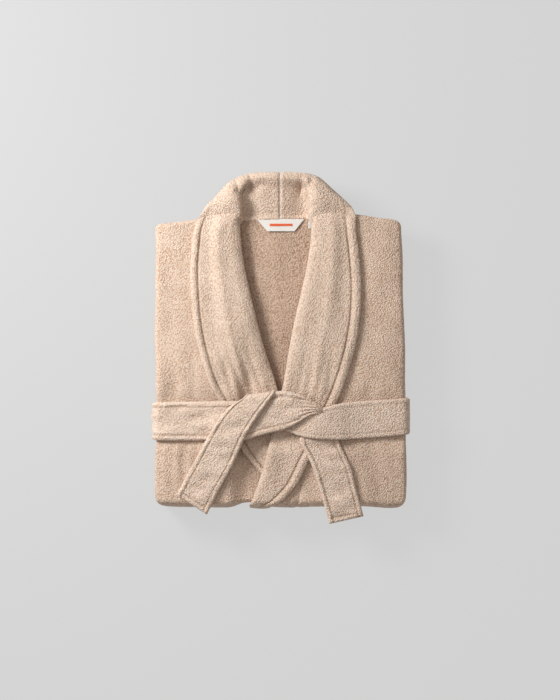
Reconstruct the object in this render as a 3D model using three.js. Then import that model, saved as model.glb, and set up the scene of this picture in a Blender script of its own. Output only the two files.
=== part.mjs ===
// A terry bathrobe, folded to a flat bundle and tied round with its own belt.
// Millimetres, +Z up. The bundle lies on its back: +X to the right, +Y towards the collar.
import * as THREE from 'three';

// ---- Driving dimensions ----
const cloth = 3.2;              // one layer of terry, pile included
const gap = 0.4;                // clearance between layers that touch
const bundleWidth = 378;        // across the two side folds
const shoulderY = 201;          // shoulder line
const bottomFoldY = -240;       // outside of the bottom fold
const hemFoldY = 188;           // outside of the fold that tucks the hem in
const hemY = -190;              // the hem, inside the bundle
const chestHalf = 300;          // centre line to side seam, laid flat
const bottomRound = 0.45;       // bulge of the bottom fold as a share of its radius
const hemRound = 0.7;           // the same for the hem's fold
const sleeveLength = 305;       // armhole to cuff
const sleeveFolded = 92;        // sleeve width once folded in half
const cuffLength = 85;
const collarCloth = 6.4;        // the collar is two layers of terry
const lapelGap = 0.8;           // clearance under a lapel
const beltWidth = 54;
const beltCloth = 6;            // the belt is two layers too
const beltY = -109;             // middle of the belt's left run
const beltRise = 8;             // the right run sits this much nearer the collar at the side
const squeeze = 4;              // how far the belt sinks into the top of the bundle
const squeezeReach = 30;        // half length of the stretch that the belt squeezes
const beltSlack = 1.7;          // clearance between the belt and the rounded folds
const pocketSize = [133, 170];
const labelTop = 72;
const labelBottom = 46;
const labelHeight = 18.5;
const labelCloth = 1;
const loopTape = 1.2;           // thickness of the hanger loop's tape

// ---- Sizes worked out from them ----
const pitch = cloth + gap;
const sideAxis = 2 * pitch - gap / 2;
const sideStart = bundleWidth / 2 - sideAxis;
const sideArc = Math.PI * sideAxis;
const levelDepth = 4 * pitch;
const sleeveDepth = 4 * cloth + 2 * gap;
const stack = 3 * levelDepth + sleeveDepth + gap;
const base = pitch;             // a pocket fits under the skirt
const topZ = base + stack;
const bottomAxis = stack / 2;
const bottomCentreY = bottomFoldY + bottomRound * bottomAxis;
const bottomStart = shoulderY - bottomCentreY;
const bottomArc = Math.PI * bottomAxis * 0.78;
const hemAxis = stack - levelDepth;
const hemCentreY = hemFoldY - hemRound * levelDepth;
const lowerLength = hemCentreY - bottomCentreY;
const hemArc = Math.PI * levelDepth * 0.86;
const beltLift = beltCloth + 2 * gap - base;
const middleHalf = 48;          // half width of the sunk middle, where no flap lies
const middleEdge = 76;          // where the sinking has run out
const neckSink = 8;             // the back panel lies this much lower inside the neck
const lapSink = collarCloth + 2 * lapelGap + pitch + 0.8;
const lapelTopN = -lapelGap - collarCloth;

// ---- Curves of the front, from the neck to the bottom fold, as [y, x] ----
const rollLeft = [[201, -61.5], [178, -61.5], [133, -56], [88, -46], [45, -36], [0, -24.5], [-49, -8],
  [-79, 0], [-109, 6], [-139, 15], [-169, 25], [-200, 35], [-241, 45]];
const outerLeft = [[201, -131], [178, -132], [133, -135], [88, -135], [45, -130.5], [0, -123], [-49, -108],
  [-79, -93], [-109, -82], [-139, -68], [-169, -48], [-200, -20], [-241, 0]];
const rollRight = [[201, 46], [178, 46], [133, 40.5], [88, 31], [45, 21], [0, 12], [-49, 4],
  [-79, -3], [-109, -9.5], [-139, -17], [-169, -24], [-200, -33], [-241, -50]];
const outerRight = [[201, 113], [178, 116], [133, 119.5], [88, 123], [45, 120], [0, 112], [-49, 97],
  [-79, 85], [-109, 72], [-139, 57], [-169, 41], [-200, 25], [-241, -12]];

// ---- Helpers ----
const range = (count) => Array.from({ length: count + 1 }, (_, i) => i / count);
const mix = (a, b, share) => a + (b - a) * share;

function at(curve, y) {
  for (let i = 1; i < curve.length; i += 1) {
    const [y0, x0] = curve[i - 1];
    const [y1, x1] = curve[i];
    if (y >= y1 || i === curve.length - 1) return mix(x0, x1, Math.min(Math.max((y0 - y) / (y0 - y1), 0), 1));
  }
  return curve[0][1];
}

// A closed body between two grids of points with the same rows and columns.
function slab(name, upper, lower, color) {
  const rows = upper.length;
  const cols = upper[0].length;
  const points = [...upper.flat(), ...lower.flat()].flat();
  const id = (layer, i, j) => layer * rows * cols + i * cols + j;
  let faces = [];
  const quad = (a, b, c, d) => faces.push([a, b, c], [a, c, d]);
  for (let i = 0; i < rows - 1; i += 1) {
    for (let j = 0; j < cols - 1; j += 1) {
      quad(id(0, i, j), id(0, i, j + 1), id(0, i + 1, j + 1), id(0, i + 1, j));
      faces.push([id(1, i, j), id(1, i + 1, j + 1), id(1, i, j + 1)]);
      faces.push([id(1, i, j), id(1, i + 1, j), id(1, i + 1, j + 1)]);
    }
    quad(id(0, i, 0), id(0, i + 1, 0), id(1, i + 1, 0), id(1, i, 0));
    quad(id(0, i + 1, cols - 1), id(0, i, cols - 1), id(1, i, cols - 1), id(1, i + 1, cols - 1));
  }
  for (let j = 0; j < cols - 1; j += 1) {
    quad(id(0, 0, j + 1), id(0, 0, j), id(1, 0, j), id(1, 0, j + 1));
    quad(id(0, rows - 1, j), id(0, rows - 1, j + 1), id(1, rows - 1, j + 1), id(1, rows - 1, j));
  }
  const corner = (k) => new THREE.Vector3(...points.slice(3 * k, 3 * k + 3));
  const volume = faces.reduce((sum, [a, b, c]) => sum + corner(a).dot(corner(b).cross(corner(c))), 0);
  if (volume < 0) faces = faces.map(([a, b, c]) => [a, c, b]);
  const geometry = new THREE.BufferGeometry();
  geometry.setAttribute('position', new THREE.Float32BufferAttribute(points, 3));
  geometry.setIndex(faces.flat());
  geometry.computeVertexNormals();
  const mesh = new THREE.Mesh(geometry, new THREE.MeshStandardMaterial({ color, roughness: 0.95, metalness: 0 }));
  mesh.name = name;
  return mesh;
}

// ---- The folds ----
// u runs sideways from the centre line, v down from the shoulder, n into the bundle from the outer face.
function sideFold(u, n) {
  const side = Math.sign(u);
  const out = Math.abs(u) - sideStart;
  if (out <= 0) return [u, n];
  const radius = sideAxis - n;
  if (out >= sideArc) return [side * (sideStart - (out - sideArc)), 2 * sideAxis - n];
  const turn = Math.PI * out / sideArc;
  return [side * (sideStart + radius * Math.sin(turn)), sideAxis - radius * Math.cos(turn)];
}

function lengthFold(v, n) {
  if (v <= bottomStart) return [shoulderY - v, n];
  const past = v - bottomStart;
  if (past < bottomArc) {
    const turn = Math.PI * past / bottomArc;
    const radius = bottomAxis - n;
    return [bottomCentreY - bottomRound * radius * Math.sin(turn), bottomAxis - radius * Math.cos(turn)];
  }
  const lower = past - bottomArc;
  if (lower <= lowerLength) return [bottomCentreY + lower, stack - n];
  const radius = levelDepth - n;
  const beyond = lower - lowerLength;
  if (beyond >= hemArc) return [hemCentreY - (beyond - hemArc), hemAxis - radius];
  const turn = Math.PI * beyond / hemArc;
  return [hemCentreY + hemRound * radius * Math.sin(turn), hemAxis + radius * Math.cos(turn)];
}

// The belt draws the bundle in: up from below, down from above and a little from the sides.
function drawnIn([x, y, z]) {
  const hold = Math.min(Math.max(2 - Math.abs(y - beltY) / squeezeReach, 0), 1);
  const share = Math.min(Math.max((z - base) / stack, 0), 1);
  return [x * (1 - 0.008 * hold), y, z + hold * (beltLift * (1 - share) - squeeze * share)];
}

function place(u, v, n) {
  const [x, n1] = sideFold(u, n);
  const [y, depth] = lengthFold(v, n1);
  return drawnIn([x, y, topZ - depth]);
}

// How far the layers sink in the middle of the bundle, from 1 at the centre to 0 where the flaps begin.
// Each lower layer starts to sink a little further out than the one on top of it.
const lapelShift = 3.5;
const frontShift = 4.5;
const backShift = 8;
const sunk = (u, shift = 0) => (
  Math.min(Math.max((middleEdge - shift - Math.abs(u)) / (middleEdge - middleHalf), 0), 1)
);

// ---- Rows that every panel shares: flat stretches as y, folds as shares of their arc ----
const frontRows = [201, 178, 133, 88, 45, 0, -49, -79, -109, -139, -169, -200, bottomCentreY];
const lowerRows = [-169, -139, -109, -79, -49, 60, hemCentreY];
const hemRows = [60, -49, -79, -139, -169, hemY];
const arcRows = range(5).slice(1);
const lapelEnd = 3;             // arc steps that the lapels run round the bottom fold

function rowsDown() {
  const lowerStart = bottomStart + bottomArc;
  return [
    ...frontRows.map((y) => ({ v: shoulderY - y, y, level: 1, turn: 0 })),
    ...arcRows.map((share) => ({ v: bottomStart + share * bottomArc, y: bottomFoldY, level: 1, turn: share })),
    ...lowerRows.map((y) => ({ v: lowerStart + y - bottomCentreY, y: bottomFoldY, level: 3, turn: 1 })),
    ...arcRows.map((share) => ({ v: lowerStart + lowerLength + share * hemArc, y: bottomFoldY, level: 3, turn: 1 })),
    ...hemRows.map((y) => ({
      v: lowerStart + lowerLength + hemArc + hemCentreY - y, y: bottomFoldY, level: 2, turn: 1,
    })),
  ];
}

// Depth that a panel gives up in the sunk middle: full under the lapels, one layer below the bottom fold.
function sinkAt(row, full, neck, low = pitch, start = 45) {
  if (row.turn > 0) return mix(full, low, Math.min(Math.max((row.turn - 0.6) / 0.4, 0), 1));
  return mix(neck, full, Math.min(Math.max((start - row.y) / (start + 79), 0), 1));
}

const sideColumns = [110, 150, sideStart, ...arcRows.map((share) => sideStart + share * sideArc), chestHalf];

// Columns from an inner to an outer distance, with one on each edge of the sinking slope between them.
function columnsBetween(inner, outer, count, shift = 0) {
  const columns = range(count).map((share) => mix(inner, outer, share));
  for (const slope of [middleHalf - shift, middleEdge - shift]) {
    const inside = Math.abs(slope - inner) > 1 && (slope - inner) * (slope - outer) < 0;
    const step = Math.round((slope - inner) / (outer - inner) * count);
    if (inside) columns[Math.min(Math.max(step, 1), count - 1)] = slope;
  }
  return columns;
}

// ---- Panels ----
function backPanel() {
  const half = [0, middleHalf + backShift, middleEdge + backShift, ...sideColumns];
  const columns = [...half.slice(1).reverse().map((u) => -u), ...half];
  const grid = (n0) => rowsDown().map((row) => columns.map((u) => {
    const sink = sinkAt(row, lapSink + 3.4, neckSink, pitch + 2.6);
    return place(u, row.v, n0 + sink * sunk(u, -backShift));
  }));
  return slab('back_panel', grid(pitch), grid(pitch + cloth), '#c9ad97');
}

function frontPanel(side, roll, sinks) {
  const name = side < 0 ? 'front_panel_left' : 'front_panel_right';
  const inset = 3;              // the front ends this far behind the collar's roll edge
  const grid = (n0) => rowsDown().map((row) => {
    const inner = side * at(roll, row.y) + inset;
    return [...columnsBetween(inner, sideColumns[0], 5, -frontShift), ...sideColumns.slice(1)].map((u) => {
      const sink = sinks ? sinkAt(row, lapSink + 0.8, 0) : 0;
      return place(side * u, row.v, n0 + sink * sunk(u, -frontShift));
    });
  });
  return slab(name, grid(0), grid(cloth), '#cdb19b');
}

// A sleeve lies lengthwise between the flaps and the hem level, with its cuff below it.
function sleevePiece(name, side, top, bottom, rows) {
  const inner = side * (sideStart - 2 - sleeveFolded);
  const outer = side * (sideStart - 2);
  const ys = [top, ...rows.filter((y) => y < top - 1 && y > bottom + 1), bottom];
  const grid = (n) => ys.map((y) => [inner, outer].map((x) => place(x, shoulderY - y, n)));
  return slab(name, grid(levelDepth), grid(levelDepth + sleeveDepth), '#c6aa94');
}

function sleeveAndCuff(side) {
  const word = side < 0 ? 'left' : 'right';
  const top = shoulderY - 11;
  const seam = top - sleeveLength;
  return [
    sleevePiece(`sleeve_${word}`, side, top, seam, frontRows),
    sleevePiece(`cuff_${word}`, side, seam - gap, seam - cuffLength, frontRows),
  ];
}

function pocket(side) {
  const inner = 45;
  const start = bottomStart + bottomArc + (-62 - bottomCentreY);
  const grid = (n) => [0, 12 / pocketSize[1], 1].map((share) => [0, 1].map((across) => (
    place(side * (inner + across * pocketSize[0]), start + share * pocketSize[1], n)
  )));
  return slab(side < 0 ? 'pocket_left' : 'pocket_right', grid(-gap - cloth), grid(-gap), '#cbb09a');
}

// A flat tape at the side seam, at the waist, tucked beside the flap's edge.
function beltLoop(side) {
  const seamX = sideStart - (chestHalf - sideStart - sideArc);
  const waist = bottomStart + bottomArc + 60;
  const grid = (z0) => [0, 30, 50].map((along) => [1, 9].map((inward) => {
    const [, y] = place(0, waist + along, 0);
    return drawnIn([side * (seamX - gap - inward), y, base + 2.9 * pitch + z0]);
  }));
  return slab(side < 0 ? 'belt_loop_left' : 'belt_loop_right', grid(2), grid(0), '#c3a68f');
}

// ---- Collar ----
// Each half is one band: up the front as a lapel, then round the neck, where it stands up from the
// neck seam, rolls over and falls behind the shoulders. Neck rows give the middle of the band at the
// seam, the roll, the outside of the roll and the outer edge.
const lapelZ = topZ + lapelGap + collarCloth / 2;
const rollZ = topZ + 8;
const seamZ = topZ - pitch - neckSink + collarCloth / 2 + 1;
const neckLeft = [
  [[-58, 194, topZ], [-68, 204, topZ + 6], [-112, 208, lapelZ], [-128, 204, lapelZ]],
  [[-50, 197.5, seamZ + 1], [-70, 224, rollZ], [-100, 231, lapelZ - 1], [-115, 225, topZ - 10]],
  [[-38, 197.5, seamZ], [-62, 244, rollZ], [-82, 250, topZ + 1], [-86, 246, topZ - 32]],
  [[-20, 197.5, seamZ], [-36, 254, rollZ], [-46, 261, topZ + 1], [-46, 257, topZ - 44]],
  [[-2.4, 197.5, seamZ], [-2.4, 256, rollZ], [-2.4, 263, topZ + 1], [-2.4, 258, topZ - 48]],
];
const neckRight = [
  [[43, 194, topZ], [54, 204, topZ + 6], [98, 207, lapelZ], [111, 204, lapelZ]],
  [[36, 197.5, seamZ + 1], [57, 226, rollZ], [88, 227, lapelZ - 1], [102, 221, topZ - 10]],
  [[27, 197.5, seamZ], [49, 243, rollZ], [66, 246, topZ + 1], [70, 241, topZ - 32]],
  [[15, 197.5, seamZ], [27, 253, rollZ], [34, 260, topZ + 1], [36, 255, topZ - 44]],
  [[-1.6, 197.5, seamZ], [-1.6, 256, rollZ], [-1.6, 263, topZ + 1], [-1.6, 258, topZ - 48]],
];
const collarColumns = range(8);

function lapelRows(roll, outer, side, sinks) {
  const ending = [0.15, 0.5, 1];
  const rows = rowsDown().filter((row) => row.level === 1 && row.turn <= lapelEnd / 5 && row.y < 200);
  return rows.reverse().map((row, i) => {
    const inner = at(roll, row.y);
    const width = (at(outer, row.y) - inner) * (ending[i] ?? 1);
    return columnsBetween(side * inner, side * (inner + width), 8, lapelShift).map((u, j) => {
      const sink = sinks ? sinkAt(row, lapSink, 0, pitch, 0) * sunk(u, lapelShift) : 0;
      const edge = j % 8 === 0 ? 2 : 0;
      return [place(side * u, row.v, lapelTopN + sink + edge), place(side * u, row.v, -lapelGap + sink)];
    });
  });
}

function neckRows(stations) {
  const middle = stations.map((points) => {
    const curve = new THREE.CatmullRomCurve3(points.map((p) => new THREE.Vector3(...p)), false, 'centripetal');
    return collarColumns.map((share) => curve.getPointAt(share));
  });
  return middle.map((row, i) => row.map((point, j) => {
    const before = middle[Math.max(i - 1, 0)][j];
    const after = middle[Math.min(i + 1, middle.length - 1)][j];
    const along = after.clone().sub(before);
    const across = row[Math.min(j + 1, 8)].clone().sub(row[Math.max(j - 1, 0)]);
    const normal = across.cross(along).normalize();
    if (stations[0][0][0] > 0) normal.negate();
    if (i === middle.length - 1) normal.setX(0).normalize();
    const half = (j === 0 || j === 8 ? 0.7 : 1) * collarCloth / 2;
    normal.multiplyScalar(-half);
    return [point.clone().add(normal).toArray(), point.clone().sub(normal).toArray()];
  }));
}

function collarHalf(name, side, roll, outer, neck, sinks) {
  const rows = [...lapelRows(roll, outer, side, sinks), ...neckRows(neck)];
  return slab(name, rows.map((row) => row.map((p) => p[0])), rows.map((row) => row.map((p) => p[1])), '#d4baa5');
}

// ---- Belt ----
const overCloth = topZ - squeeze + beltSlack + beltCloth / 2;
const overLapel = overCloth + lapelGap + collarCloth;
const knotZ = overLapel + beltCloth + 1;
const beltHalf = (bundleWidth / 2) * (1 - 0.008) + beltSlack + beltCloth / 2;

function beltWrap() {
  const round = 9.5;            // middle of the belt at the bundle's corners
  const corner = (cx, cz, from, to) => range(3).map((share) => {
    const angle = mix(from, to, share);
    return [cx + round * Math.cos(angle), cz + round * Math.sin(angle)];
  });
  const low = beltCloth / 2;
  const cornerX = beltHalf - round;
  const path = [
    [-48, overLapel], [-97, overLapel], [-120, overCloth],
    ...corner(-cornerX, overCloth - round, Math.PI / 2, Math.PI),
    ...corner(-cornerX, low + round, Math.PI, 1.5 * Math.PI),
    ...corner(cornerX, low + round, 1.5 * Math.PI, 2 * Math.PI),
    ...corner(cornerX, overCloth - round, 0, Math.PI / 2),
    [104, overCloth], [81, overLapel], [2, overLapel],
  ];
  const grids = [1, -1].map((face) => path.map(([x, z], i) => {
    const [x0, z0] = path[Math.max(i - 1, 0)];
    const [x1, z1] = path[Math.min(i + 1, path.length - 1)];
    const length = Math.hypot(x1 - x0, z1 - z0);
    const shift = face * beltCloth / 2;
    const middleY = beltY + beltRise * Math.min(Math.max(x / beltHalf, 0), 1);
    return [-1, 1].map((edge) => [
      x - shift * (z1 - z0) / length,
      middleY + edge * beltWidth / 2,
      z + shift * (x1 - x0) / length,
    ]);
  }));
  return slab('belt_wrap', grids[0], grids[1], '#d6bda9');
}

// A flat stretch of belt given by its two edges and the height of its middle.
function beltStretch(name, rows) {
  const grid = (shift) => rows.map(([left, right, z]) => [[...left, z + shift], [...right, z + shift]]);
  return slab(name, grid(beltCloth / 2), grid(-beltCloth / 2), '#d9c1ad');
}

function knotAndTails() {
  const onRobe = topZ + gap + beltCloth / 2 + 0.3;
  const onLapel = lapelZ + collarCloth / 2 + gap + beltCloth / 2 + 0.3;
  return [
    beltStretch('belt_knot', [
      [[-48, -132], [-12, -63], knotZ], [[-22, -126], [3, -63], knotZ],
      [[8, -119], [28, -72], knotZ], [[56, -101], [58, -88], knotZ],
    ]),
    beltStretch('belt_tail_left', [
      [[-54, -77], [-19, -64], knotZ], [[-88, -106], [-31, -91], knotZ],
      [[-109, -138], [-54, -133], knotZ], [[-129, -176], [-75, -181], onRobe + 2],
      [[-143, -202], [-96, -226], onRobe], [[-156, -219], [-111, -253.5], onRobe],
    ]),
    beltStretch('belt_tail_right', [
      [[22, -138.5], [85, -138.5], onLapel], [[46, -181], [105, -170], onLapel],
      [[61, -219], [114, -211], onRobe + 1], [[73.5, -264], [123, -252], onRobe],
    ]),
  ];
}

// ---- Neck trims ----
const neckZ = topZ - pitch - neckSink + 0.5;

function plate(name, outline, z0, z1, color) {
  const grid = (z) => [[outline[0], outline[1]], [outline[3], outline[2]]].map((row) => row.map((p) => [...p, z]));
  return slab(name, grid(z1), grid(z0), color);
}

function brandLabel() {
  const top = 195.5;
  const bottom = top - labelHeight;
  const outline = [[-labelTop / 2, top], [labelTop / 2, top], [labelBottom / 2, bottom], [-labelBottom / 2, bottom]];
  return plate('brand_label', outline, neckZ, neckZ + labelCloth, '#f1ebe4');
}

function sizeTag() {
  const outline = [[37, 195], [47.5, 195], [47.5, 181], [37, 181]];
  return plate('size_tag', outline, neckZ, neckZ + labelCloth, '#f4f1ee');
}

// Hangs free from the outside of the neck seam, under the collar's fall.
function hangerLoop() {
  const drop = 24;
  const halfWide = 28;
  const tape = 6;
  const shape = new THREE.Shape();
  shape.moveTo(-halfWide, 0).lineTo(-halfWide, -drop).lineTo(halfWide, -drop).lineTo(halfWide, 0);
  shape.lineTo(halfWide - tape, 0).lineTo(halfWide - tape, tape - drop);
  shape.lineTo(tape - halfWide, tape - drop).lineTo(tape - halfWide, 0).closePath();
  const geometry = new THREE.ExtrudeGeometry(shape, { depth: loopTape, bevelEnabled: false });
  geometry.rotateX(Math.PI / 2);
  const mesh = new THREE.Mesh(geometry, new THREE.MeshStandardMaterial({ color: '#bfa28b', roughness: 0.9 }));
  mesh.name = 'hanger_loop';
  mesh.position.set(-2, shoulderY + 3, topZ - pitch - neckSink - cloth - gap);
  return mesh;
}

// ---- The robe ----
const robe = new THREE.Group();
robe.add(backPanel());
robe.add(frontPanel(-1, rollLeft, true), frontPanel(1, rollRight, false));
for (const side of [-1, 1]) robe.add(...sleeveAndCuff(side), pocket(side), beltLoop(side));
robe.add(collarHalf('collar_left', -1, rollLeft, outerLeft, neckLeft, true));
robe.add(collarHalf('collar_right', 1, rollRight, outerRight, neckRight, false));
robe.add(beltWrap(), ...knotAndTails());
robe.add(brandLabel(), sizeTag(), hangerLoop());

// The origin is the bottom centre of the whole.
robe.updateMatrixWorld(true);
const extent = new THREE.Box3().setFromObject(robe, true);
const centre = extent.getCenter(new THREE.Vector3());
robe.position.set(-centre.x, -centre.y, -extent.min.z);
robe.updateMatrixWorld(true);

export default robe;
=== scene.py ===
import math
import bpy
import numpy as np
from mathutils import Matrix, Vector


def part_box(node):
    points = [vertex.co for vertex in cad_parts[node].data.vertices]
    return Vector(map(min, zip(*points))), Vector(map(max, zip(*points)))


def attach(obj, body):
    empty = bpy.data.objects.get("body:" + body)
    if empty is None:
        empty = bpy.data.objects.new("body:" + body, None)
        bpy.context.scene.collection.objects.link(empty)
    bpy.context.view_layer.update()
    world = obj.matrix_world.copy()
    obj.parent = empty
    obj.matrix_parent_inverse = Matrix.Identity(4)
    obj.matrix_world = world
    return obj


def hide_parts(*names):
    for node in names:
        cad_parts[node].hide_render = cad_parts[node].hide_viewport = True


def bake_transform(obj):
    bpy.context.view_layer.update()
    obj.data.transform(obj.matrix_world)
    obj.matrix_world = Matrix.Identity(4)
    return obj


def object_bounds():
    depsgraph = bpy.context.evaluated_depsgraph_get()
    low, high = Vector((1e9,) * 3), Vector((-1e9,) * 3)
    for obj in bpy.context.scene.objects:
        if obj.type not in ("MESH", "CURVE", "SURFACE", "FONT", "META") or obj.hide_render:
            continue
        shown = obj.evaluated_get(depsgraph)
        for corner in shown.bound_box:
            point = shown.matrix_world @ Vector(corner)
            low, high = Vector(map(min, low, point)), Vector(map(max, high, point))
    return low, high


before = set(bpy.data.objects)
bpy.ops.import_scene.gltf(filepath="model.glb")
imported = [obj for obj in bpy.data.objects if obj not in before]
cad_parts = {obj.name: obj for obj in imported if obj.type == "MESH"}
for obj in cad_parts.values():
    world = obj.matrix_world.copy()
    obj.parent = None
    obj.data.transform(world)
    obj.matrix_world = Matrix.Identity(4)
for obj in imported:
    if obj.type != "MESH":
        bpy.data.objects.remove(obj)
cad_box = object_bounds()

MM = 0.001
floor_z = cad_box[0].z
bundle_low, bundle_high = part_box("front_panel_right")

# ---------------------------------------------------------------- camera and light
# A camera straight above the folded robe, one soft light from the left and the collar end, and a
# weaker one over the whole. The pale table glows a little, so that the robe's shadow stays faint.
camera_data = bpy.data.cameras.new("camera")
camera_data.lens = 85
camera = bpy.data.objects.new("camera", camera_data)
camera_height = 2.479
camera.location = (-1.5 * MM, -3.0 * MM, bundle_high.z + camera_height)
bpy.context.scene.collection.objects.link(camera)
bpy.context.scene.camera = camera
bpy.context.scene.view_settings.view_transform = "Standard"


def plain_material(name, colour, roughness=0.9):
    material = bpy.data.materials.new(name)
    material.use_nodes = True
    shader = material.node_tree.nodes["Principled BSDF"]
    shader.inputs["Base Color"].default_value = (*colour, 1)
    shader.inputs["Roughness"].default_value = roughness
    shader.inputs["Specular IOR Level"].default_value = 0.1
    return material


def soft_light(name, place, size, watts, colour):
    """A square light that faces the middle of the robe."""
    data = bpy.data.lights.new(name, "AREA")
    data.shape = "SQUARE"
    data.size = size
    data.energy = watts
    data.color = colour
    light = bpy.data.objects.new(name, data)
    light.location = place
    light.rotation_euler = (-Vector(place)).to_track_quat("-Z", "Y").to_euler()
    bpy.context.scene.collection.objects.link(light)


soft_light("window_left", (-0.92, 0.6, 0.82), 0.45, 20.5, (0.98, 1, 1))
soft_light("overhead", (-0.6, 0.4, 2.9), 2.2, 10, (1, 0.975, 0.93))
world = bpy.data.worlds.new("studio")
world.use_nodes = True
background = world.node_tree.nodes["Background"].inputs
background["Color"].default_value = (1, 0.97, 0.93, 1)
background["Strength"].default_value = 0.3
bpy.context.scene.world = world

bpy.ops.mesh.primitive_plane_add(size=12, location=(0, 0, floor_z))
table = bpy.context.object
table.name = "table"
table_white = plain_material("table_white", (0.09, 0.09, 0.09))
glow = table_white.node_tree.nodes["Principled BSDF"].inputs
glow["Emission Color"].default_value = (1, 1, 1, 1)
glow["Emission Strength"].default_value = 0.585
table.data.materials.append(table_white)

# ---------------------------------------------------------------- the robe's two fronts
# Each front is one width of looped cotton terry from the shoulder to the hem. It is folded round
# the sides of the bundle, then under at the bottom, and its hem is tucked back inside.
cloth = 3.2 * MM
gap = 0.4 * MM
pitch = cloth + gap
shoulder_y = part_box("back_panel")[1].y
shift = 201 * MM - shoulder_y
side_axis = 2 * pitch - gap / 2
side_start = bundle_high.x - side_axis
side_arc = math.pi * side_axis
level = 4 * pitch
stack = bundle_high.z - bundle_low.z
top_z = bundle_high.z
base_z = bundle_low.z
bottom_axis = stack / 2
bottom_round = 0.45
bottom_centre_y = bundle_low.y + bottom_round * bottom_axis
bottom_start = shoulder_y - bottom_centre_y
bottom_flat, hem_flat = 0.78, 0.86
bottom_arc = math.pi * bottom_axis * bottom_flat
hem_axis = stack - level
hem_round = 0.7
hem_tuck = 13 * MM
hem_centre_y = shoulder_y - hem_tuck - hem_round * level
lower_length = hem_centre_y - bottom_centre_y
hem_arc = math.pi * level * hem_flat
hem_y = -191.5 * MM
hem_v = bottom_start + bottom_arc + lower_length + hem_arc + hem_centre_y - hem_y
chest_half = 300 * MM
shoulder_roll = 6 * MM
belt_y = -110.5 * MM
belt_low = 6.8 * MM


def smooth(share):
    share = np.clip(share, 0, 1)
    return share * share * (3 - 2 * share)


def hump(distance, width):
    """1 on a line, falling to nothing about two widths away from it."""
    return np.exp(-(distance / width) ** 2)


def waves(points, length, seed):
    """A smooth random swell through space, about 1 high, with the given distance between crests."""
    count = 14
    draw = np.random.RandomState(seed)
    total = np.zeros(points.shape[:-1])
    for _ in range(count):
        way = draw.normal(size=3)
        way *= 2 * math.pi / (length * draw.uniform(0.7, 1.5) * np.linalg.norm(way))
        total += np.sin(points @ way + draw.uniform(0, 2 * math.pi))
    return total / math.sqrt(count)


def side_fold(u, n):
    out = np.abs(u) - side_start
    turn = np.pi * np.clip(out / side_arc, 0, 1)
    radius = side_axis - n
    x = np.where(out <= 0, np.abs(u), side_start + radius * np.sin(turn))
    x = np.where(out >= side_arc, side_start - (out - side_arc), x)
    depth = np.where(out <= 0, n, side_axis - radius * np.cos(turn))
    depth = np.where(out >= side_arc, 2 * side_axis - n, depth)
    return np.sign(u) * x, depth


def length_fold(v, n):
    y, depth = shoulder_y - v, n.copy()
    roll = v < shoulder_roll
    turn = np.clip((shoulder_roll - v) / (2 * shoulder_roll), 0, 1) * 0.6 * np.pi
    radius = 2 * pitch - n
    y = np.where(roll, shoulder_y - shoulder_roll + 0.85 * radius * np.sin(turn), y)
    depth = np.where(roll, 2 * pitch - radius * np.cos(turn), depth)
    past = v - bottom_start
    turn = np.pi * np.clip(past / bottom_arc, 0, 1)
    radius = bottom_axis - n
    bend = (past > 0) & (past < bottom_arc)
    y = np.where(bend, bottom_centre_y - bottom_round * radius * np.sin(turn), y)
    depth = np.where(bend, bottom_axis - radius * np.cos(turn), depth)
    lower = past - bottom_arc
    y = np.where(lower >= 0, bottom_centre_y + lower, y)
    depth = np.where(lower >= 0, stack - n, depth)
    beyond = lower - lower_length
    turn = np.pi * np.clip(beyond / hem_arc, 0, 1)
    radius = level - n
    bend = (beyond > 0) & (beyond < hem_arc)
    y = np.where(bend, hem_centre_y + hem_round * radius * np.sin(turn), y)
    depth = np.where(bend, hem_axis + radius * np.cos(turn), depth)
    y = np.where(beyond >= hem_arc, hem_centre_y - (beyond - hem_arc), y)
    depth = np.where(beyond >= hem_arc, hem_axis - radius, depth)
    return y, depth


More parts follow.
